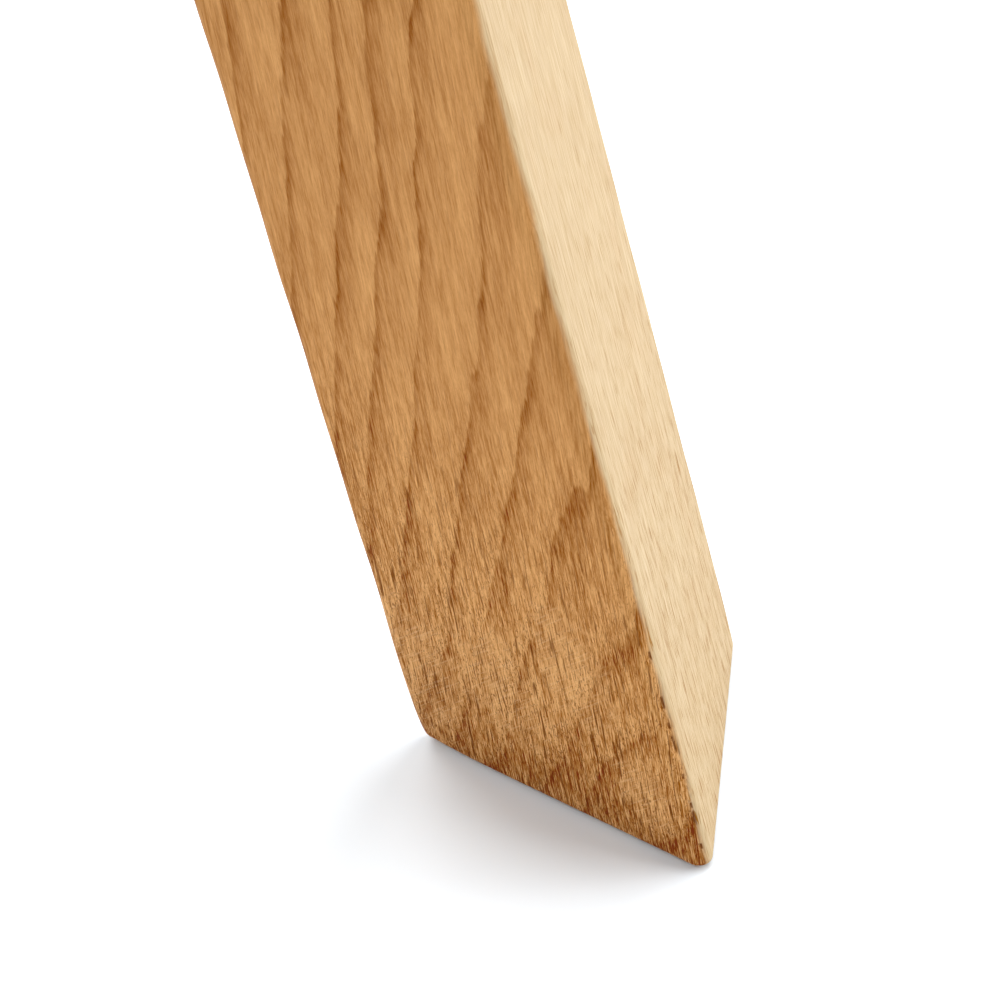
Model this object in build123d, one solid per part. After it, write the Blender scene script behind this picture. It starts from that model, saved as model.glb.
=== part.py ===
from build123d import *
import os
from math import radians, sqrt, tan

# A splayed bench leg: a solid oak post of triangular section under a steel mounting plate, with a
# levelling glide sunk in its foot. Millimetres, +Z up, +X the way the foot splays outwards.
# The origin is the middle of the mounting plate's top face, which meets the underside of the seat.

# Driving dimensions: the post
OVERALL_HEIGHT = 420.0
LEAN = 12.6
SIDE = 80.0
LONG_EDGE_RADIUS = 3.2
FOOT_EDGE_RADIUS = 1.6

# Driving dimensions: the mounting plate and its screws
PLATE_SIZE = 120.0
PLATE_THICKNESS = 5.0
PLATE_CORNER_RADIUS = 14.0
PLATE_EDGE_RADIUS = 0.8
FIXING_SPACING = 96.0
FIXING_HOLE_RADIUS = 3.3
SCREW_COUNT = 3
SCREW_CIRCLE_RADIUS = 19.0
SCREW_RADIUS = 3.0
SCREW_LENGTH = 20.0
SCREW_HEAD_RADIUS = 6.0
SCREW_HEAD_DEPTH = 0.3
SCREW_SOCKET_ACROSS_FLATS = 4.0
SCREW_SOCKET_DEPTH = 2.4

# Driving dimensions: the threaded inserts, plain inside and out
TOP_INSERT_RADIUS = 5.0
TOP_INSERT_LENGTH = 15.0
FOOT_INSERT_RADIUS = 6.0
FOOT_INSERT_LENGTH = 18.0
INSERT_FLANGE_WIDTH = 1.6
INSERT_FLANGE_THICKNESS = 1.2

# Driving dimensions: the levelling glide, with heights above the floor at its lowest setting
STUD_RADIUS = 3.97
STUD_TOP = 36.0
STUD_FLANGE_RADIUS = 6.5
STUD_FLANGE_THICKNESS = 2.5
STUD_SOCKET_ACROSS_FLATS = 5.0
STUD_SOCKET_DEPTH = 5.0
FOOT_GAP = 1.0
PAD_THICKNESS = 3.0
PAD_RADIUS = 13.4
PAD_HOLE_RADIUS = 4.0
CUP_RADIUS = 14.5
CUP_RIM = 2.0
CUP_TOP = 9.0
CUP_FLOOR_THICKNESS = 2.0
CUP_KEY_HOLE_RADIUS = 3.4
RETAINER_THICKNESS = 1.2
RETAINER_HOLE_RADIUS = 4.3
RECESS_RADIUS = 15.5

# Clearances
RUNNING_GAP = 0.05
SEATING_GAP = 0.1
CUP_TO_RECESS_GAP = 0.5
DRILL_TIP_ROOM = 3.0

# Worked out from the driving dimensions
SECTION_DEPTH = SIDE * sqrt(3) / 2
POST_TOP = -PLATE_THICKNESS
FLOOR = -OVERALL_HEIGHT
POST_FOOT = FLOOR + FOOT_GAP
SPLAY = tan(radians(LEAN))
FOOT_X = (POST_TOP - POST_FOOT) * SPLAY
RECESS_TOP = FLOOR + CUP_TOP + CUP_TO_RECESS_GAP
POCKET_FLOOR = FLOOR + PAD_THICKNESS + CUP_FLOOR_THICKNESS
POCKET_RADIUS = STUD_FLANGE_RADIUS + SEATING_GAP
STUD_BORE_TOP = FLOOR + STUD_TOP + DRILL_TIP_ROOM


def cylinder(radius, low, high, x=0.0, y=0.0):
    """A vertical cylinder between two heights."""
    return Pos(x, y, (low + high) / 2) * Cylinder(radius, high - low)


def screw_places():
    """The three screw axes, each under one corner of the post's section."""
    return [
        (place.position.X, place.position.Y)
        for place in PolarLocations(SCREW_CIRCLE_RADIUS, SCREW_COUNT, start_angle=180.0)
    ]


def hex_socket(across_flats, low, high, x=0.0, y=0.0):
    """A vertical hexagonal recess between two heights."""
    outline = RegularPolygon(across_flats / 2, 6, major_radius=False)
    return Pos(x, y, low) * extrude(outline, high - low)


def make_leg_post():
    """The leaning prism, cut level at both ends, with its bores and its foot recess."""
    corners = [
        (-2 * SECTION_DEPTH / 3, 0),
        (SECTION_DEPTH / 3, -SIDE / 2),
        (SECTION_DEPTH / 3, SIDE / 2),
    ]
    outline = make_face(Polyline(*corners, close=True))
    outline = fillet(outline.vertices(), LONG_EDGE_RADIUS)
    across_grain = Plane.XY.rotated((0, -LEAN, 0))
    across_grain.origin = Vector(0, 0, POST_TOP)
    prism = extrude(across_grain * outline, OVERALL_HEIGHT * 1.2, both=True)
    middle = Pos(FOOT_X / 2, 0, (POST_TOP + POST_FOOT) / 2)
    post = prism & middle * Box(OVERALL_HEIGHT, 2 * SIDE, POST_TOP - POST_FOOT)
    foot_edges = post.faces().sort_by(Axis.Z)[0].edges()
    post = fillet(foot_edges, FOOT_EDGE_RADIUS)

    for x, y in screw_places():
        post -= cylinder(TOP_INSERT_RADIUS, POST_TOP - TOP_INSERT_LENGTH - DRILL_TIP_ROOM, POST_TOP, x, y)
        flange_radius = TOP_INSERT_RADIUS + INSERT_FLANGE_WIDTH
        post -= cylinder(flange_radius, POST_TOP - INSERT_FLANGE_THICKNESS, POST_TOP, x, y)

    post -= cylinder(RECESS_RADIUS, POST_FOOT, RECESS_TOP, FOOT_X)
    post -= cylinder(FOOT_INSERT_RADIUS, RECESS_TOP, RECESS_TOP + FOOT_INSERT_LENGTH, FOOT_X)
    flange_radius = FOOT_INSERT_RADIUS + INSERT_FLANGE_WIDTH
    post -= cylinder(flange_radius, RECESS_TOP, RECESS_TOP + INSERT_FLANGE_THICKNESS, FOOT_X)
    post -= cylinder(STUD_RADIUS + SEATING_GAP * 5, RECESS_TOP, STUD_BORE_TOP, FOOT_X)
    return post


def make_mounting_plate():
    """The flat plate, with four clearance holes near its corners and three countersunk ones."""
    outline = RectangleRounded(PLATE_SIZE, PLATE_SIZE, PLATE_CORNER_RADIUS)
    plate = Pos(0, 0, POST_TOP) * extrude(outline, PLATE_THICKNESS)
    rims = plate.faces().sort_by(Axis.Z)[0].edges() + plate.faces().sort_by(Axis.Z)[-1].edges()
    plate = fillet(rims, PLATE_EDGE_RADIUS)
    for place in GridLocations(FIXING_SPACING, FIXING_SPACING, 2, 2):
        plate -= cylinder(FIXING_HOLE_RADIUS, POST_TOP, 0, place.position.X, place.position.Y)

    hole_radius = SCREW_RADIUS + SEATING_GAP * 3
    mouth_radius = SCREW_HEAD_RADIUS + SCREW_HEAD_DEPTH + RUNNING_GAP
    cone_depth = mouth_radius - hole_radius
    countersink = Cone(hole_radius, mouth_radius, cone_depth)
    for x, y in screw_places():
        plate -= cylinder(hole_radius, POST_TOP, 0, x, y)
        plate -= Pos(x, y, -cone_depth / 2) * countersink
    return plate


def make_plate_screws():
    """Three countersunk screws with hexagonal sockets, seated just under the plate's face."""
    cone_depth = SCREW_HEAD_RADIUS - SCREW_RADIUS
    head_top = -SCREW_HEAD_DEPTH
    shank_radius = SCREW_RADIUS - RUNNING_GAP
    screws = []
    for x, y in screw_places():
        head = Pos(x, y, head_top - cone_depth / 2) * Cone(SCREW_RADIUS, SCREW_HEAD_RADIUS, cone_depth)
        shank = cylinder(shank_radius, -SCREW_LENGTH, head_top - cone_depth, x, y)
        socket_floor = head_top - SCREW_SOCKET_DEPTH
        screws.append(head + shank - hex_socket(SCREW_SOCKET_ACROSS_FLATS, socket_floor, head_top, x, y))
    return Compound(screws)


def make_insert(radius, length, bore_radius):
    """A threaded insert with its flange at height zero and its barrel hanging below."""
    barrel = cylinder(radius, -length, 0)
    flange = cylinder(radius + INSERT_FLANGE_WIDTH, -INSERT_FLANGE_THICKNESS, 0)
    return barrel + flange - cylinder(bore_radius, -length, 0)


def make_leg_inserts():
    """The three inserts in the top of the post, flush with the wood."""
    insert = make_insert(TOP_INSERT_RADIUS, TOP_INSERT_LENGTH, SCREW_RADIUS)
    return Compound([Pos(x, y, POST_TOP) * insert for x, y in screw_places()])


def make_foot_insert():
    """The insert that the levelling stud turns in, upside down above the foot recess."""
    insert = make_insert(FOOT_INSERT_RADIUS, FOOT_INSERT_LENGTH, STUD_RADIUS + RUNNING_GAP)
    return Pos(FOOT_X, 0, RECESS_TOP) * Rot(180, 0, 0) * insert


def make_glide_stud():
    """The levelling stud: a threaded shank on a flange, with a hexagonal socket underneath."""
    flange_low = POCKET_FLOOR + RUNNING_GAP
    flange_high = flange_low + STUD_FLANGE_THICKNESS
    flange = cylinder(STUD_FLANGE_RADIUS, flange_low, flange_high, FOOT_X)
    shank = cylinder(STUD_RADIUS, flange_high, FLOOR + STUD_TOP, FOOT_X)
    shank = chamfer(shank.faces().sort_by(Axis.Z)[-1].edges(), STUD_RADIUS / 5)
    socket_top = flange_low + STUD_SOCKET_DEPTH
    return flange + shank - hex_socket(STUD_SOCKET_ACROSS_FLATS, flange_low, socket_top, FOOT_X)


def make_glide_base():
    """The cup: the pad's recess below, the stud's pocket above and a key hole between them."""
    cup = cylinder(CUP_RADIUS, FLOOR + CUP_RIM, FLOOR + CUP_TOP)
    rims = cup.faces().sort_by(Axis.Z)[0].edges() + cup.faces().sort_by(Axis.Z)[-1].edges()
    cup = fillet(rims, CUP_RIM / 4)
    cup -= cylinder(PAD_RADIUS, FLOOR + CUP_RIM, FLOOR + PAD_THICKNESS)
    cup -= cylinder(POCKET_RADIUS, POCKET_FLOOR, FLOOR + CUP_TOP)
    cup -= cylinder(CUP_KEY_HOLE_RADIUS, FLOOR + PAD_THICKNESS, POCKET_FLOOR)
    return Pos(FOOT_X, 0, 0) * cup


def make_glide_retainer():
    """The ring pressed into the cup's pocket over the stud's flange."""
    low = POCKET_FLOOR + STUD_FLANGE_THICKNESS + 2 * RUNNING_GAP
    ring = cylinder(POCKET_RADIUS, low, low + RETAINER_THICKNESS)
    ring -= cylinder(RETAINER_HOLE_RADIUS, low, low + RETAINER_THICKNESS)
    return Pos(FOOT_X, 0, 0) * ring


def make_glide_pad():
    """The felt ring that touches the floor."""
    pad = cylinder(PAD_RADIUS, FLOOR, FLOOR + PAD_THICKNESS)
    pad -= cylinder(PAD_HOLE_RADIUS, FLOOR, FLOOR + PAD_THICKNESS)
    return Pos(FOOT_X, 0, 0) * pad


PARTS = {
    "leg_post": make_leg_post,
    "mounting_plate": make_mounting_plate,
    "leg_inserts": make_leg_inserts,
    "plate_screws": make_plate_screws,
    "foot_insert": make_foot_insert,
    "glide_stud": make_glide_stud,
    "glide_base": make_glide_base,
    "glide_retainer": make_glide_retainer,
    "glide_pad": make_glide_pad,
}

os.makedirs("parts", exist_ok=True)
for node, make in PARTS.items():
    export_step(make(), f"parts/{node}.step")
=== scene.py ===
import bmesh
import bpy
import math
import numpy as np
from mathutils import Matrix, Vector


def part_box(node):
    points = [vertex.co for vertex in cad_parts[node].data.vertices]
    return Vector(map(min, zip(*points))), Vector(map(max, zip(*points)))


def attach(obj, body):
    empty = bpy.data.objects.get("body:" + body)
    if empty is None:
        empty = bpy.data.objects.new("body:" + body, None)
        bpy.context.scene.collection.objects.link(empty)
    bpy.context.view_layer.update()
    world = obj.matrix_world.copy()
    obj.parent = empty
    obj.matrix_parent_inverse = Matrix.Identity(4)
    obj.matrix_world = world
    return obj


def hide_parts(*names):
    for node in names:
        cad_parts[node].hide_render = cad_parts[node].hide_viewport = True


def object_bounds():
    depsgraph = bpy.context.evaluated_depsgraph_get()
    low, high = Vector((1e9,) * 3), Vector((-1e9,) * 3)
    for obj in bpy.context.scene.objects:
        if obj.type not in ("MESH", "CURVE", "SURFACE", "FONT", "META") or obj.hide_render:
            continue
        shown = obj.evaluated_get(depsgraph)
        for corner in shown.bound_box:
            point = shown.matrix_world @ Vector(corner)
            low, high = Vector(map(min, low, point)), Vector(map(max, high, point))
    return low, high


# A splayed oak bench leg of triangular section, standing on its sunk levelling glide.
# Lengths are metres, except inside the wood material, where the grain is laid out in millimetres.

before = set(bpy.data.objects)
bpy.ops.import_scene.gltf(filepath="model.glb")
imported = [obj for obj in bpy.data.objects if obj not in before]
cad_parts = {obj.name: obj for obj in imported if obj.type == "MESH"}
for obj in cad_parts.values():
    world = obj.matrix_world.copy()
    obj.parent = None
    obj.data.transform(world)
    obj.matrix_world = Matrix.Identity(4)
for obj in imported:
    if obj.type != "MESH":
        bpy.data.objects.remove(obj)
cad_low, cad_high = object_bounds()

# ---------------------------------------------------------------- sizes

post_low, post_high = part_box("leg_post")
cup_low, cup_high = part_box("glide_base")

# The corners of the section, counted anticlockwise seen from above: inner, front, then back
CORNER_ANGLES = (math.pi, math.radians(300), math.radians(60))
INNER = 0
FRONT = 1
SIDE = 0.080
CORNER_REACH = SIDE / math.sqrt(3)
EDGE_RADIUS = 0.0032
FOOT_FILLET = 0.0016
POST_TOP = post_high.z
POST_FOOT = post_low.z
POST_HEIGHT = POST_TOP - POST_FOOT
FOOT_X = (cup_low.x + cup_high.x) / 2
LEAN = math.atan2(FOOT_X, POST_HEIGHT)
FLOOR = cad_low.z
FOOT_CENTRE = Vector((FOOT_X, 0.0, POST_FOOT))

# Bores in the post, from the mouth inwards, each step a radius and the height where it ends.
# The foot has one bore on its middle, and the top has three for the inserts.
CUP_TO_RECESS_GAP = 0.0005
INSERT_FLANGE_THICKNESS = 0.0012
INSERT_BORE_DEPTH = 0.0180
RECESS_TOP = cup_high.z + CUP_TO_RECESS_GAP
FOOT_BORES = (
    (0.0155, RECESS_TOP),
    (0.0076, RECESS_TOP + INSERT_FLANGE_THICKNESS),
    (0.0060, RECESS_TOP + INSERT_BORE_DEPTH),
    (0.00447, FLOOR + 0.0390),
)
TOP_BORES = (
    (0.0066, POST_TOP - INSERT_FLANGE_THICKNESS),
    (0.0050, POST_TOP - INSERT_BORE_DEPTH),
)
SCREW_CIRCLE = 0.019
SCREW_PLACES = [(SCREW_CIRCLE * math.cos(a), SCREW_CIRCLE * math.sin(a)) for a in CORNER_ANGLES]

# Small nicks in the front edge: height above the foot, half length, depth
NICKS = (
    (0.0062, 0.0009, 0.00025),
    (0.0150, 0.0024, 0.00055),
    (0.0186, 0.0010, 0.00035),
    (0.0268, 0.0008, 0.00025),
    (0.0362, 0.0026, 0.00050),
    (0.0412, 0.0010, 0.00030),
    (0.0478, 0.0020, 0.00045),
    (0.0610, 0.0012, 0.00025),
)
# How far a nick reaches from the middle of the edge
NICK_WIDTH = 0.0008

# Dusty scuffs near the foot: place across the front-left face, height, reach across, reach along, in mm
SCUFFS = (
    (-30.0, 24.0, 12.0, 22.0),
    (-6.0, 30.0, 12.0, 17.0),
    (15.0, 46.0, 10.0, 18.0),
    (27.0, 17.0, 8.0, 11.0),
)

# ---------------------------------------------------------------- node helper


class Nodes:
    """Builds one material's node tree. Most calls add a node and return one of its outputs."""

    def __init__(self, name):
        self.material = bpy.data.materials.new(name)
        self.material.use_nodes = True
        self.tree = self.material.node_tree
        self.shader = self.tree.nodes["Principled BSDF"]

    def add(self, kind, inputs=(), output=0, **settings):
        node = self.tree.nodes.new(kind)
        for key, value in settings.items():
            setattr(node, key, value)
        for key, value in dict(inputs).items():
            self.feed(node.inputs[key], value)
        return node.outputs[output]

    def feed(self, socket, value):
        """Links a socket to another node's output, or sets it to a constant."""
        if isinstance(value, bpy.types.NodeSocket):
            self.tree.links.new(value, socket)
        else:
            socket.default_value = value

    def surface(self, **inputs):
        for key, value in inputs.items():
            self.feed(self.shader.inputs[key.replace("_", " ")], value)
        return self.material

    def place(self):
        return self.add("ShaderNodeTexCoord", output="Object")

    def maths(self, operation, first, second=0.0):
        return self.add("ShaderNodeMath", {0: first, 1: second}, operation=operation)

    def vector(self, operation, first, second):
        return self.add("ShaderNodeVectorMath", {0: first, 1: second}, operation=operation)

    def dot(self, first, second):
        inputs = {0: first, 1: second}
        return self.add("ShaderNodeVectorMath", inputs, output="Value", operation="DOT_PRODUCT")

    def turned(self, vector, angle):
        """A vector turned about the Y axis."""
        return self.add("ShaderNodeVectorRotate", {"Vector": vector, "Angle": angle}, rotation_type="Y_AXIS")

    def span(self, value, low, high, to_low=0.0, to_high=1.0):
        """Maps low..high smoothly to to_low..to_high and holds it there beyond."""
        inputs = {"Value": value, "From Min": low, "From Max": high, "To Min": to_low, "To Max": to_high}
        return self.add("ShaderNodeMapRange", inputs, interpolation_type="SMOOTHSTEP")

    def noise(self, vector, scale, detail=2.0, roughness=0.5, distortion=0.0, output="Fac"):
        inputs = {"Vector": vector, "Scale": scale, "Detail": detail}
        inputs.update({"Roughness": roughness, "Distortion": distortion})
        return self.add("ShaderNodeTexNoise", inputs, output=output)

    def streaks(self, grain, squeeze, scale, detail=2.0, roughness=0.5):
        """Noise drawn out along the grain: the smaller the squeeze, the longer its streaks."""
        return self.noise(self.vector("MULTIPLY", grain, (1, 1, squeeze)), scale, detail, roughness)

    def mix(self, factor, first, second):
        inputs = {"Factor": factor, 6: first, 7: second}
        return self.add("ShaderNodeMix", inputs, output=2, data_type="RGBA", clamp_factor=False)

    def bump(self, height, distance, strength=1.0):
        inputs = {"Height": height, "Distance": distance, "Strength": strength}
        return self.add("ShaderNodeBump", inputs)


# ---------------------------------------------------------------- oak

TO_MM = 1000

# The fibres stand a little more upright than the leg itself
FIBRE_LEAN = math.radians(7.0)
RING_WIDTH = 9.3
RING_START = -0.25
# Where the heart of the tree lies from the middle of the section, by the two directions below
PITH_ACROSS = 40.0
PITH_DEPTH = 12.0
# The tree widens downwards, and most of all over the butt at the foot of the leg
TRUNK_TAPER = 0.08
BUTT_FLARE = 0.28
BUTT_HEIGHT = 90.0

# Across: along the front-left face, from the inner corner to the front one. Depth: into the wood.
ACROSS = (math.sqrt(3) / 2, -0.5, 0.0)
DEPTH = (0.5, math.sqrt(3) / 2, 0.0)
# Level and square to the front corner, towards the right. The nicks are darkened just to that side of the
# edge.
ROUND_FRONT_EDGE = (math.sqrt(3) / 2, 0.5, 0.0)
NICK_DARK_SIDEWAYS = 0.45
# The sanding marks' own direction, and the direction that crosses them on the front-left face
SCRATCH_ALONG = (0.72, -0.41, 0.56)
SCRATCH_OVER = (-0.48, 0.28, 0.83)

OAK_LIGHT = (0.624, 0.312, 0.106, 1)
OAK_DARK = (0.308, 0.106, 0.014, 1)
OAK_PORE = (0.130, 0.030, 0.001, 1)
OAK_MARK = (0.740, 0.450, 0.210, 1)
# Painted light: paler colours for the right-hand face, standing in for the light that falls on it from the
# right
PAINTED_LIT_PALE_GRAIN = (0.598, 0.443, 0.256, 1)
PAINTED_LIT_DARK_GRAIN = (0.455, 0.284, 0.129, 1)


def ring_radius(n, grain, height):
    """Distance from a pith outside the leg, bent by two slow drifts and by the tree's flare."""
    slow = n.vector("MULTIPLY", grain, (1, 1, 0.25))
    drift = n.vector("SUBTRACT", n.noise(slow, 0.035, output="Color"), (0.5, 0.5, 0.5))
    ripple = n.vector("SUBTRACT", n.noise(slow, 0.22, output="Color"), (0.5, 0.5, 0.5))
    warped = n.vector("ADD", grain, n.vector("MULTIPLY", drift, (11, 11, 0)))
    warped = n.vector("ADD", warped, n.vector("MULTIPLY", ripple, (2.2, 2.2, 0)))
    across = n.maths("SUBTRACT", n.dot(warped, ACROSS), PITH_ACROSS)
    depth = n.maths("SUBTRACT", n.dot(warped, DEPTH), PITH_DEPTH)
    radius = n.maths("SQRT", n.maths("ADD", n.maths("POWER", across, 2), n.maths("POWER", depth, 2)))
    radius = n.maths("ADD", radius, n.maths("MULTIPLY", height, TRUNK_TAPER))
    butt = n.maths("EXPONENT", n.maths("DIVIDE", height, -BUTT_HEIGHT))
    return n.maths("SUBTRACT", radius, n.maths("MULTIPLY", butt, BUTT_FLARE * BUTT_HEIGHT))


def ring_year(n, grain, height, fine):
    """How far through its year's growth each point lies, from 0 to 1."""
    radius = ring_radius(n, grain, height)
    wander = n.add("ShaderNodeTexNoise", {"W": radius, "Scale": 0.05, "Detail": 1.0}, noise_dimensions="1D")
    rings = n.maths("ADD", n.maths("DIVIDE", radius, RING_WIDTH), n.maths("MULTIPLY", wander, 1.2))
    feather = n.span(fine, 0.30, 0.70, -0.028, 0.028)
    return n.maths("FRACT", n.maths("ADD", n.maths("ADD", rings, RING_START), feather))


def late_wood(n, grain, year):
    """A slow darkening through the year that ends in a thin dark line."""
    edge = n.span(year, 0.95, 1.0, 1.0, 0.0)
    band = n.maths("MULTIPLY", n.maths("POWER", n.span(year, 0.15, 0.95), 1.6), edge)
    line = n.maths("MULTIPLY", n.maths("POWER", n.span(year, 0.76, 0.95), 1.8), edge)
    line = n.maths("MULTIPLY", line, n.span(n.streaks(grain, 0.25, 0.12), 0.30, 0.62, 0.35, 1.0))
    return n.maths("ADD", n.maths("MULTIPLY", line, 0.36), n.maths("MULTIPLY", band, 0.26))


def fibre_shade(n, grain, height, hair, fine):
    """Three widths of soft streak, the two narrower ones crisper towards the foot."""
    near_foot = n.span(height, 15.0, 150.0, 1.15, 0.30)
    fibres = n.maths("ADD", n.span(hair, 0.34, 0.66, -0.58, 0.58), n.span(fine, 0.30, 0.70, -0.20, 0.20))
    wide = n.span(n.streaks(grain, 0.04, 0.6, 3.0, 0.65), 0.30, 0.70, -0.20, 0.20)
    return n.maths("ADD", n.maths("MULTIPLY", fibres, near_foot), wide)


def scuff_patches(n, upright, height):
    """Ragged ovals near the foot where the surface is dusty."""
    patches = 0.0
    rim = n.span(n.noise(upright, 0.25, 3.0), 0.30, 0.70, -0.50, 0.50)
    for place_across, place_height, wide, tall in SCUFFS:
        off_across = n.maths("DIVIDE", n.maths("SUBTRACT", n.dot(upright, ACROSS), place_across), wide)
        off_height = n.maths("DIVIDE", n.maths("SUBTRACT", height, place_height), tall)
        away = n.maths("ADD", n.maths("POWER", off_across, 2), n.maths("POWER", off_height, 2))
        patches = n.maths("MAXIMUM", patches, n.span(n.maths("ADD", away, rim), 0.1, 1.5, 1.0, 0.0))
    return patches


def sanding_marks(n, upright, height, hair, patches):
    """Pale marks across the grain inside the scuffs, and pale flecks that thin out up the leg."""
    along = n.maths("MULTIPLY", n.dot(upright, SCRATCH_ALONG), 0.06)
    over = n.dot(upright, SCRATCH_OVER)
    scratches = n.noise(n.add("ShaderNodeCombineXYZ", {"X": along, "Y": over}), 1.9, 1.0)
    scratches = n.span(scratches, 0.52, 0.66, 0.0, 0.30)
    marks = n.maths("MULTIPLY", n.maths("ADD", scratches, 0.10), patches)
    flecks = n.maths("MULTIPLY", n.span(hair, 0.30, 0.48, 0.60, 0.0), n.span(height, 10.0, 95.0, 1.0, 0.0))
    return n.maths("MAXIMUM", marks, flecks)


def open_pores(n, grain, height, year):
    """Vessels: long cut lines, and short dots where the early wood is open."""
    lines = n.span(n.streaks(grain, 0.022, 2.1, 1.0, 0.4), 0.635, 0.670)
    lines = n.maths("MULTIPLY", lines, n.span(height, 20.0, 135.0, 0.80, 0.15))
    early = n.maths("MULTIPLY", n.span(year, 0.0, 0.35, 1.0, 0.0), 0.06)
    dots = n.span(n.maths("ADD", n.streaks(grain, 0.35, 3.0, 1.0), early), 0.63, 0.69)
    dots = n.maths("MULTIPLY", dots, n.span(height, 15.0, 130.0, 0.70, 0.08))
    return n.maths("MAXIMUM", lines, dots)


def painted_lit_side(n, upright):
    """Picks out the right-hand face, where light from the right is painted in, with a wavering border along
    the front edge.
    """
    wobble = n.span(n.streaks(upright, 0.6, 0.07, 1.0), 0.3, 0.7, -0.35, 0.35)
    return n.span(n.maths("ADD", n.dot(upright, (1, 0, 0)), wobble), 21.3, 23.0)


def painted_lit_face_grain(n, upright, height):
    """The right-hand face, painted paler as if lit from the right. It is cut along the fibres, so it shows
    only fine straight grain.
    """
    straight = n.streaks(upright, 0.03, 1.6, 3.0, 0.65)
    threads = n.span(n.streaks(upright, 0.06, 2.2, 1.0), 0.57, 0.67)
    threads = n.maths("MULTIPLY", threads, n.span(height, 20.0, 200.0, 1.5, 0.5))
    return n.mix(n.maths("ADD", n.span(straight, 0.32, 0.68, -0.35, 0.55), threads), PAINTED_LIT_PALE_GRAIN, PAINTED_LIT_DARK_GRAIN)


def darker_nicks(n, upright, height, hair):
    """Darker colour in the nicks along the front edge, just to the right-hand side of the edge."""
    sideways = n.maths("SUBTRACT", n.dot(upright, ROUND_FRONT_EDGE), NICK_DARK_SIDEWAYS)
    darkened = n.span(n.maths("ABSOLUTE", sideways), 0.12, 0.40, 1.0, 0.0)
    darkened = n.maths("MULTIPLY", darkened, n.span(hair, 0.30, 0.60, 0.60, 1.0))
    near_nick = 0.0
    for middle, half, _ in NICKS:
        away = n.maths("ABSOLUTE", n.maths("SUBTRACT", height, middle * TO_MM))
        reach = half * TO_MM
        near_nick = n.maths("MAXIMUM", near_nick, n.span(away, 0.5 * reach, 1.2 * reach, 1.0, 0.0))
    return n.maths("MULTIPLY", darkened, near_nick)


def oak_material():
    """Oiled oak: ringed brown wood, scuffed near the foot, with painted light making the right-hand face
    paler.
    """
    n = Nodes("oiled_oak")
    local = n.vector("MULTIPLY", n.vector("SUBTRACT", n.place(), tuple(FOOT_CENTRE)), (TO_MM, TO_MM, TO_MM))
    grain = n.turned(local, FIBRE_LEAN)
    upright = n.turned(local, LEAN)
    height = n.dot(local, (0, 0, 1))
    hair = n.streaks(grain, 0.05, 3.0, 3.0, 0.75)
    fine = n.streaks(grain, 0.04, 1.6, 2.0, 0.6)
    year = ring_year(n, grain, height, fine)
    patches = scuff_patches(n, upright, height)

    # The wood is darkest in the late wood and at the foot, and paler where it is dusty
    broad = n.span(n.streaks(grain, 0.12, 0.11), 0.35, 0.65, 0.24, 0.42)
    tone = n.maths("ADD", late_wood(n, grain, year), broad)
    tone = n.maths("SUBTRACT", tone, n.maths("MULTIPLY", patches, 0.22))
    tone = n.maths("ADD", tone, n.span(height, 0.0, 46.0, 0.42, 0.0))
    tone = n.maths("ADD", tone, fibre_shade(n, grain, height, hair, fine))
    tone = n.add("ShaderNodeClamp", {"Value": tone, "Min": -0.2, "Max": 1.4})

    pores = open_pores(n, grain, height, year)
    marks = sanding_marks(n, upright, height, hair, patches)
    heart = n.mix(marks, n.mix(tone, OAK_LIGHT, OAK_DARK), OAK_MARK)
    heart = n.mix(pores, heart, OAK_PORE)
    # Painted light: the right-hand face takes the paler colours, as if lit from the right
    colour = n.mix(painted_lit_side(n, upright), heart, painted_lit_face_grain(n, upright, height))
    colour = n.mix(darker_nicks(n, upright, height, hair), colour, OAK_PORE)

    rough = n.maths("ADD", n.span(fine, 0.3, 0.7, 0.46, 0.60), n.maths("MULTIPLY", pores, 0.25))
    relief = n.maths("SUBTRACT", n.maths("MULTIPLY", fine, 0.5), pores)
    n.surface(Specular_IOR_Level=0.05)
    return n.surface(Base_Color=colour, Roughness=rough, Normal=n.bump(relief, 0.00010, 0.8))


# ---------------------------------------------------------------- metals, nylon and felt


def powder_coat():
    n = Nodes("black_powder_coat")
    n.surface(Specular_IOR_Level=0.3)
    pebble = n.noise(n.place(), 2600, 2.0)
    patch = n.noise(n.place(), 60, 2.0)
    colour = n.mix(n.span(patch, 0.3, 0.7), (0.016, 0.016, 0.017, 1), (0.028, 0.028, 0.030, 1))
    rough = n.span(pebble, 0.3, 0.7, 0.42, 0.60)
    return n.surface(Base_Color=colour, Roughness=rough, Normal=n.bump(pebble, 0.00006))


def plated_metal(name, tint, dull, roughness):
    n = Nodes(name)
    cloud = n.noise(n.place(), 180, 3.0)
    scratch = n.noise(n.vector("MULTIPLY", n.place(), (1, 1, 14)), 900, 2.0)
    colour = n.mix(n.span(cloud, 0.35, 0.7), tint, dull)
    rough = n.maths("ADD", n.span(scratch, 0.3, 0.7, -0.06, 0.08), roughness)
    n.surface(Metallic=1.0)
    return n.surface(Base_Color=colour, Roughness=rough, Normal=n.bump(scratch, 0.00001, 0.5))


def nylon():
    n = Nodes("moulded_nylon")
    grain = n.noise(n.place(), 3000, 2.0)
    flow = n.noise(n.place(), 150, 2.0)
    colour = n.mix(n.span(flow, 0.3, 0.7), (0.030, 0.028, 0.026, 1), (0.050, 0.046, 0.042, 1))
    rough = n.span(grain, 0.3, 0.7, 0.40, 0.55)
    return n.surface(Base_Color=colour, Roughness=rough, Normal=n.bump(grain, 0.00003))


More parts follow.
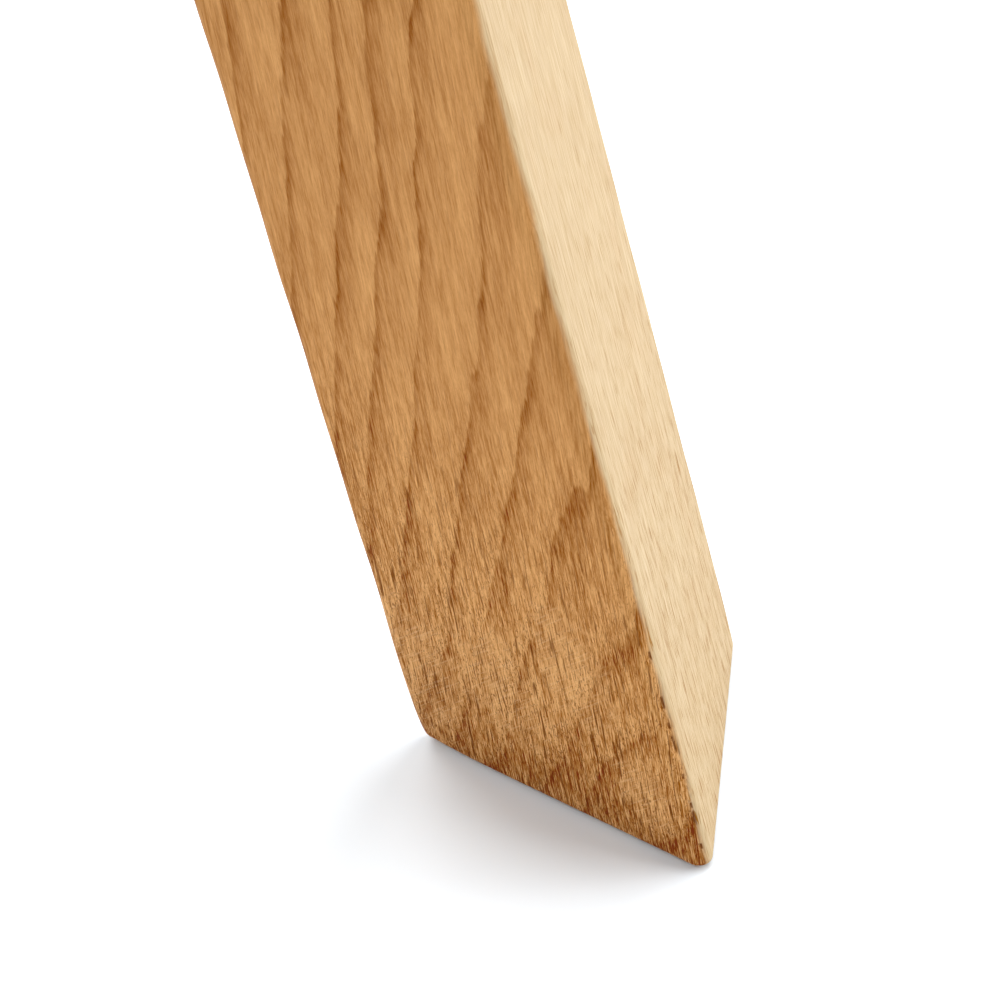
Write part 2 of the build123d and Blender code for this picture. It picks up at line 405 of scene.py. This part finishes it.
def felt():
    n = Nodes("pressed_felt")
    fibres = n.noise(n.place(), 1500, 4.0, 0.7, 2.5)
    mottle = n.noise(n.place(), 260, 2.0)
    colour = n.mix(n.span(fibres, 0.3, 0.7), (0.10, 0.088, 0.076, 1), (0.30, 0.27, 0.24, 1))
    colour = n.mix(n.span(mottle, 0.4, 0.7, 0.0, 0.4), colour, (0.16, 0.14, 0.12, 1))
    n.surface(Roughness=0.95, Sheen_Weight=0.3)
    return n.surface(Base_Color=colour, Normal=n.bump(fibres, 0.0003))


# ---------------------------------------------------------------- mesh helpers


def add_object(name, data):
    obj = bpy.data.objects.new(name, data)
    bpy.context.scene.collection.objects.link(obj)
    return obj


def mesh_object(name, vertices, faces, material):
    mesh = bpy.data.meshes.new(name)
    mesh.from_pydata(vertices, [], faces)
    mesh.materials.append(material)
    return add_object(name, mesh)


def smooth_below(obj, degrees):
    """Smooth shading, with edges sharper than the given angle left hard."""
    work = bmesh.new()
    work.from_mesh(obj.data)
    bmesh.ops.recalc_face_normals(work, faces=work.faces)
    for face in work.faces:
        face.smooth = True
    for edge in work.edges:
        if len(edge.link_faces) == 2:
            edge.smooth = edge.calc_face_angle() < math.radians(degrees)
    work.to_mesh(obj.data)
    work.free()


def new_object(name, work, material, sharp_above):
    """Turns finished mesh work into an object; edges sharper than the angle stay hard."""
    mesh = bpy.data.meshes.new(name)
    work.to_mesh(mesh)
    work.free()
    mesh.materials.append(material)
    obj = add_object(name, mesh)
    smooth_below(obj, sharp_above)
    return obj


def neighbours(ring):
    """Each vertex of a ring with the one after it, and the last with the first."""
    return zip(ring, ring[1:] + ring[:1])


def join_rings(work, ring, after):
    """Skins the gap between two rings that have the same number of vertices."""
    for (left, right), (after_left, after_right) in zip(neighbours(ring), neighbours(after)):
        work.faces.new((left, right, after_right, after_left))


def close_ring(work, ring, centre, level):
    """Closes a ring with a fan about a point."""
    hub = work.verts.new((centre[0], centre[1], level))
    for left, right in neighbours(ring):
        work.faces.new((left, right, hub))


def turn_angles(count):
    return [2 * math.pi * i / count for i in range(count)]


def spokes(count):
    """Level unit vectors, evenly spaced round a circle."""
    return [Vector((math.cos(turn), math.sin(turn))) for turn in turn_angles(count)]


def add_ring(work, centre, radii, level, directions):
    """A ring of vertices at the given distances along the given directions from a centre."""
    ring = []
    for radius, away in zip(radii, directions):
        ring.append(work.verts.new((centre[0] + radius * away.x, centre[1] + radius * away.y, level)))
    return ring


def add_circle(work, centre, radius, level, directions):
    return add_ring(work, centre, [radius] * len(directions), level, directions)


def stepped_bore(work, centre, mouth, directions, steps):
    """Carries a ring of vertices through bores of the given (radius, end height), and closes the last."""
    ring = mouth
    level = mouth[0].co.z
    for index, (radius, end) in enumerate(steps):
        heights = (end,) if index == 0 else (level, end)
        for height in heights:
            after = add_circle(work, centre, radius, height, directions)
            join_rings(work, ring, after)
            ring = after
        level = end
    close_ring(work, ring, centre, level)


def close_with_holes(work, rings):
    """Fills a flat end between the outline and the mouths of its bores."""
    edges = []
    for ring in rings:
        for pair in neighbours(ring):
            edges.append(work.edges.get(pair) or work.edges.new(pair))
    bmesh.ops.triangle_fill(work, edges=edges, use_beauty=True)


# ---------------------------------------------------------------- the post

ARC_POINTS = 15
SIDE_POINTS = 58
FILLET_RINGS = 8
FINE_STEP = 0.0005
FINE_HEIGHT = 0.075
COARSE_STEP = 0.0026
FOOT_SPOKES = 72
TOP_SPOKES = 40
POST_SHARP_ABOVE = 30

# How each long edge's softening wanders along the leg: its share of the radius, wavelengths, seed
EDGE_WANDER = (
    (0.05, (0.061, 0.034), 1),
    (0.14, (0.061, 0.037, 0.019), 2),
    (0.05, (0.055, 0.029), 3),
)

# Wear at the foot: its depth all round, more at the inner corner, and how fast both fade
WEAR_ALL_ROUND = 0.0002
WEAR_AT_INNER = 0.0011
WEAR_REACH = 0.012
WEAR_HEIGHT = 0.0048


def corner_point(corner, reach):
    """The point at a distance from the section's middle towards one of its corners."""
    angle = CORNER_ANGLES[corner]
    return reach * np.array((math.cos(angle), math.sin(angle)))


def wave(value, lengths, seed):
    """A smooth wandering number between -1 and 1: a few sines of the given wavelengths."""
    phases = np.random.default_rng(seed).uniform(0, 2 * math.pi, len(lengths))
    sines = [math.sin(2 * math.pi * value / length + phase) for length, phase in zip(lengths, phases)]
    return sum(sines) / len(lengths)


def edge_radii(height):
    """The hand-softened radius of each long edge at a height above the foot."""
    return [EDGE_RADIUS * (1 + share * wave(height, lengths, seed)) for share, lengths, seed in EDGE_WANDER]


def section(radii):
    """Points round the section and their outward normals."""
    points = []
    normals = []
    for corner in range(3):
        angle = CORNER_ANGLES[corner]
        middle = corner_point(corner, CORNER_REACH - 2 * radii[corner])
        for turn in np.linspace(angle - math.pi / 3, angle + math.pi / 3, ARC_POINTS):
            normal = np.array((math.cos(turn), math.sin(turn)))
            points.append(middle + radii[corner] * normal)
            normals.append(normal)
        start = points[-1]
        after = (corner + 1) % 3
        end = corner_point(after, CORNER_REACH - 2 * radii[after]) + radii[after] * normals[-1]
        for share in np.linspace(0, 1, SIDE_POINTS + 2)[1:-1]:
            points.append(start + share * (end - start))
            normals.append(normals[-1])
    return np.array(points), np.array(normals)


def ring_heights():
    """Heights of the mesh rings above the foot: round the fillet, finely near the foot, then coarsely."""
    turns = np.linspace(0, math.pi / 2, FILLET_RINGS)
    heights = [FOOT_FILLET * (1 - math.cos(turn)) for turn in turns]
    while heights[-1] + FINE_STEP < FINE_HEIGHT:
        heights.append(heights[-1] + FINE_STEP)
    coarse = math.ceil((POST_HEIGHT - heights[-1]) / COARSE_STEP)
    return heights + list(np.linspace(heights[-1], POST_HEIGHT, coarse + 1)[1:])


def foot_inset(height, points):
    """How far the skin draws in near the foot: the fillet, and wear that is deepest at the inner corner.

    The two together stay under the corner's own radius, or the outline would fold over itself.
    """
    fillet = FOOT_FILLET - math.sqrt(max(0.0, FOOT_FILLET**2 - max(0.0, FOOT_FILLET - height) ** 2))
    reach = np.linalg.norm(points - corner_point(INNER, CORNER_REACH), axis=1) / WEAR_REACH
    worn = WEAR_ALL_ROUND + WEAR_AT_INNER * np.exp(-(reach**2))
    return fillet + worn * math.exp(-height / WEAR_HEIGHT)


def nick_depth(height, points):
    """How far the nicks cut into the skin: each is a shallow scoop on the front edge."""
    edge = corner_point(FRONT, CORNER_REACH) * (1 - EDGE_RADIUS / CORNER_REACH)
    off_edge = np.linalg.norm(points - edge, axis=1) / NICK_WIDTH
    depth = np.zeros(len(points))
    for middle, half, deep in NICKS:
        depth += deep * math.exp(-(((height - middle) / half) ** 4)) * np.exp(-(off_edge**2))
    return depth


def skin(height):
    """The post's outline at a height above its foot, as points in the plane of the section."""
    points, normals = section(edge_radii(height))
    inset = foot_inset(height, points) + nick_depth(height, points)
    return points - normals * inset[:, None]


def make_post(material):
    """The leaning post: a stack of outlines, cut level at both ends, with its bores."""
    work = bmesh.new()
    rings = []
    for height in ring_heights():
        axis_x = FOOT_X - height * math.tan(LEAN)
        ring = []
        for x, y in skin(height):
            ring.append(work.verts.new((x / math.cos(LEAN) + axis_x, y, POST_FOOT + height)))
        rings.append(ring)
    for lower, upper in zip(rings, rings[1:]):
        join_rings(work, lower, upper)

    foot = (FOOT_X, 0.0)
    wide = spokes(FOOT_SPOKES)
    mouth = add_circle(work, foot, FOOT_BORES[0][0], POST_FOOT, wide)
    close_with_holes(work, [rings[0], mouth])
    stepped_bore(work, foot, mouth, wide, FOOT_BORES)

    narrow = spokes(TOP_SPOKES)
    mouths = [add_circle(work, place, TOP_BORES[0][0], POST_TOP, narrow) for place in SCREW_PLACES]
    close_with_holes(work, [rings[-1]] + mouths)
    for place, mouth in zip(SCREW_PLACES, mouths):
        stepped_bore(work, place, mouth, narrow, TOP_BORES)
    return new_object("oak_post", work, material, POST_SHARP_ABOVE)


# ---------------------------------------------------------------- the levelling stud

THREAD_PITCH = 0.00125
THREAD_DEPTH = 0.00072
THREAD_RUN_OUT = 0.0018
# The groove's flanks, over half a pitch: how steeply they fall, and how much crest is left flat
FLANK_SLOPE = 1.35
CREST_FLAT = 0.15
STEPS_PER_TURN = 10
STUD_SPOKES = 60
STUD_SHARP_ABOVE = 35
SOCKET_ACROSS_FLATS = 0.005
SOCKET_DEPTH = 0.005
STUD_FLANGE = 0.0065
STUD_FLANGE_THICKNESS = 0.0025
STUD_FLANGE_EASE = 0.0003
STUD_RADIUS = 0.00397
STUD_CHAMFER = 0.0008


def thread_radius(turn, above, room):
    """The stud's radius at a turn angle and a height above its flange.

    The thread runs out at the flange, and a chamfer narrows it at the tip.
    """
    phase = (above / THREAD_PITCH - turn / (2 * math.pi)) % 1.0
    groove = min(1.0, max(0.0, FLANK_SLOPE * abs(2 * phase - 1) - CREST_FLAT))
    run_out = min(1.0, above / THREAD_RUN_OUT)
    tip = STUD_RADIUS - max(0.0, STUD_CHAMFER - (room - above))
    return min(tip, STUD_RADIUS - THREAD_DEPTH * groove * run_out)


def hexagon_radius(turn):
    """Distance from the middle of the key socket to its wall."""
    off_flat = (turn + math.pi / 6) % (math.pi / 3) - math.pi / 6
    return SOCKET_ACROSS_FLATS / 2 / math.cos(off_flat)


def make_stud(material):
    """The stud from its socket outwards: flange, shoulder and threaded shank, as one stack of rings."""
    low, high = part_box("glide_stud")
    foot = (FOOT_X, 0.0)
    around = spokes(STUD_SPOKES)
    turns = turn_angles(STUD_SPOKES)
    socket = [hexagon_radius(turn) for turn in turns]
    rim = [STUD_FLANGE] * STUD_SPOKES
    eased_rim = [STUD_FLANGE - STUD_FLANGE_EASE] * STUD_SPOKES
    shoulder = low.z + STUD_FLANGE_THICKNESS

    outline = [
        (socket, low.z + SOCKET_DEPTH),
        (socket, low.z),
        (eased_rim, low.z),
        (rim, low.z + STUD_FLANGE_EASE),
        (rim, shoulder - STUD_FLANGE_EASE),
        (eased_rim, shoulder),
    ]
    room = high.z - shoulder
    for step in range(round(room / THREAD_PITCH * STEPS_PER_TURN) + 1):
        above = min(room, step * THREAD_PITCH / STEPS_PER_TURN)
        outline.append(([thread_radius(turn, above, room) for turn in turns], shoulder + above))

    work = bmesh.new()
    rings = [add_ring(work, foot, radii, level, around) for radii, level in outline]
    for ring, after in zip(rings, rings[1:]):
        join_rings(work, ring, after)
    close_ring(work, rings[0], foot, outline[0][1])
    close_ring(work, rings[-1], foot, outline[-1][1])
    return new_object("threaded_stud", work, material, STUD_SHARP_ABOVE)


# ---------------------------------------------------------------- stage

# The camera looks down on the foot from a little to the right, through a long lens
CAMERA_AZIMUTH = math.radians(5.43)
CAMERA_PITCH = math.radians(40.62)
CAMERA_LENS = 208.2
CAMERA_SENSOR_WIDTH = 36.0
CAMERA_DISTANCE = 1.2433
CAMERA_AIM = FOOT_CENTRE + Vector((-0.0266, 0.0, 0.0699))

# Softboxes round the foot: bearing from +X towards +Y, height angle, watts
SOFTBOXES = {
    "right": (0, 40, 28.4),
    "high_behind": (60, 65, 31.0),
    "left_behind": (125, 40, 25.0),
    "left_front": (225, 40, 20.9),
    "left_high": (180, 65, 8.0),
}
SOFTBOX_SIZE = 1.2
SOFTBOX_DISTANCE = 2.0

FLOOR_HALF = 0.95
# The light that the white backdrop gives, as a share of how bright it looks
BACKDROP_LIGHT = 0.08


def face_target(obj, target, away, distance):
    """Puts a camera or light off its target in a given direction, and turns it to face the target."""
    obj.location = target + away * distance
    obj.rotation_euler = (-away).to_track_quat("-Z", "Y").to_euler()


def add_camera():
    data = bpy.data.cameras.new("camera")
    data.lens = CAMERA_LENS
    data.sensor_width = CAMERA_SENSOR_WIDTH
    camera = add_object("camera", data)
    level = math.cos(CAMERA_PITCH)
    right = math.sin(CAMERA_AZIMUTH) * level
    forward = math.cos(CAMERA_AZIMUTH) * level
    face_target(camera, CAMERA_AIM, Vector((right, -forward, math.sin(CAMERA_PITCH))), CAMERA_DISTANCE)
    bpy.context.scene.camera = camera


def add_softbox(name, bearing, rise, power):
    data = bpy.data.lights.new(name, "AREA")
    data.size = SOFTBOX_SIZE
    data.energy = power
    bearing = math.radians(bearing)
    rise = math.radians(rise)
    level = math.cos(rise)
    away = Vector((math.cos(bearing) * level, math.sin(bearing) * level, math.sin(rise)))
    face_target(add_object(name, data), FOOT_CENTRE, away, SOFTBOX_DISTANCE)


def add_floor():
    n = Nodes("studio_floor")
    n.surface(Base_Color=(0.80, 0.85, 0.89, 1), Roughness=0.9, Specular_IOR_Level=0.1)
    half = FLOOR_HALF
    left, right = FOOT_X - half, FOOT_X + half
    corners = [(left, -half, FLOOR), (right, -half, FLOOR), (right, half, FLOOR), (left, half, FLOOR)]
    mesh_object("studio_floor", corners, [(0, 1, 2, 3)], n.material)


def add_world():
    """A plain white backdrop that gives only a little light of its own."""
    world = bpy.data.worlds.new("studio")
    world.use_nodes = True
    tree = world.node_tree
    background = tree.nodes["Background"]
    background.inputs["Color"].default_value = (1, 1, 1, 1)
    seen = tree.nodes.new("ShaderNodeLightPath")
    brightness = tree.nodes.new("ShaderNodeMapRange")
    brightness.inputs["To Min"].default_value = BACKDROP_LIGHT
    brightness.inputs["To Max"].default_value = 1.0
    tree.links.new(seen.outputs["Is Camera Ray"], brightness.inputs["Value"])
    tree.links.new(brightness.outputs["Result"], background.inputs["Strength"])
    bpy.context.scene.world = world


# ---------------------------------------------------------------- build

oak = oak_material()
post = make_post(oak)
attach(post, "leg")
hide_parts("leg_post")

zinc = plated_metal("bright_zinc", (0.30, 0.305, 0.315, 1), (0.21, 0.215, 0.225, 1), 0.60)
stud = make_stud(zinc)
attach(stud, "stud")
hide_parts("glide_stud")

brass = plated_metal("turned_brass", (0.66, 0.46, 0.18, 1), (0.50, 0.32, 0.11, 1), 0.34)
FINISHES = {
    "mounting_plate": powder_coat(),
    "plate_screws": zinc,
    "leg_inserts": brass,
    "glide_base": nylon(),
    "glide_retainer": plated_metal("spring_steel", (0.30, 0.30, 0.31, 1), (0.20, 0.20, 0.21, 1), 0.42),
    "glide_pad": felt(),
    "foot_insert": brass,
}
for node, material in FINISHES.items():
    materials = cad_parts[node].data.materials
    materials.clear()
    materials.append(material)

bpy.context.scene.view_settings.view_transform = "Standard"
add_camera()
add_floor()
add_world()
for name, placing in SOFTBOXES.items():
    add_softbox(name, *placing)
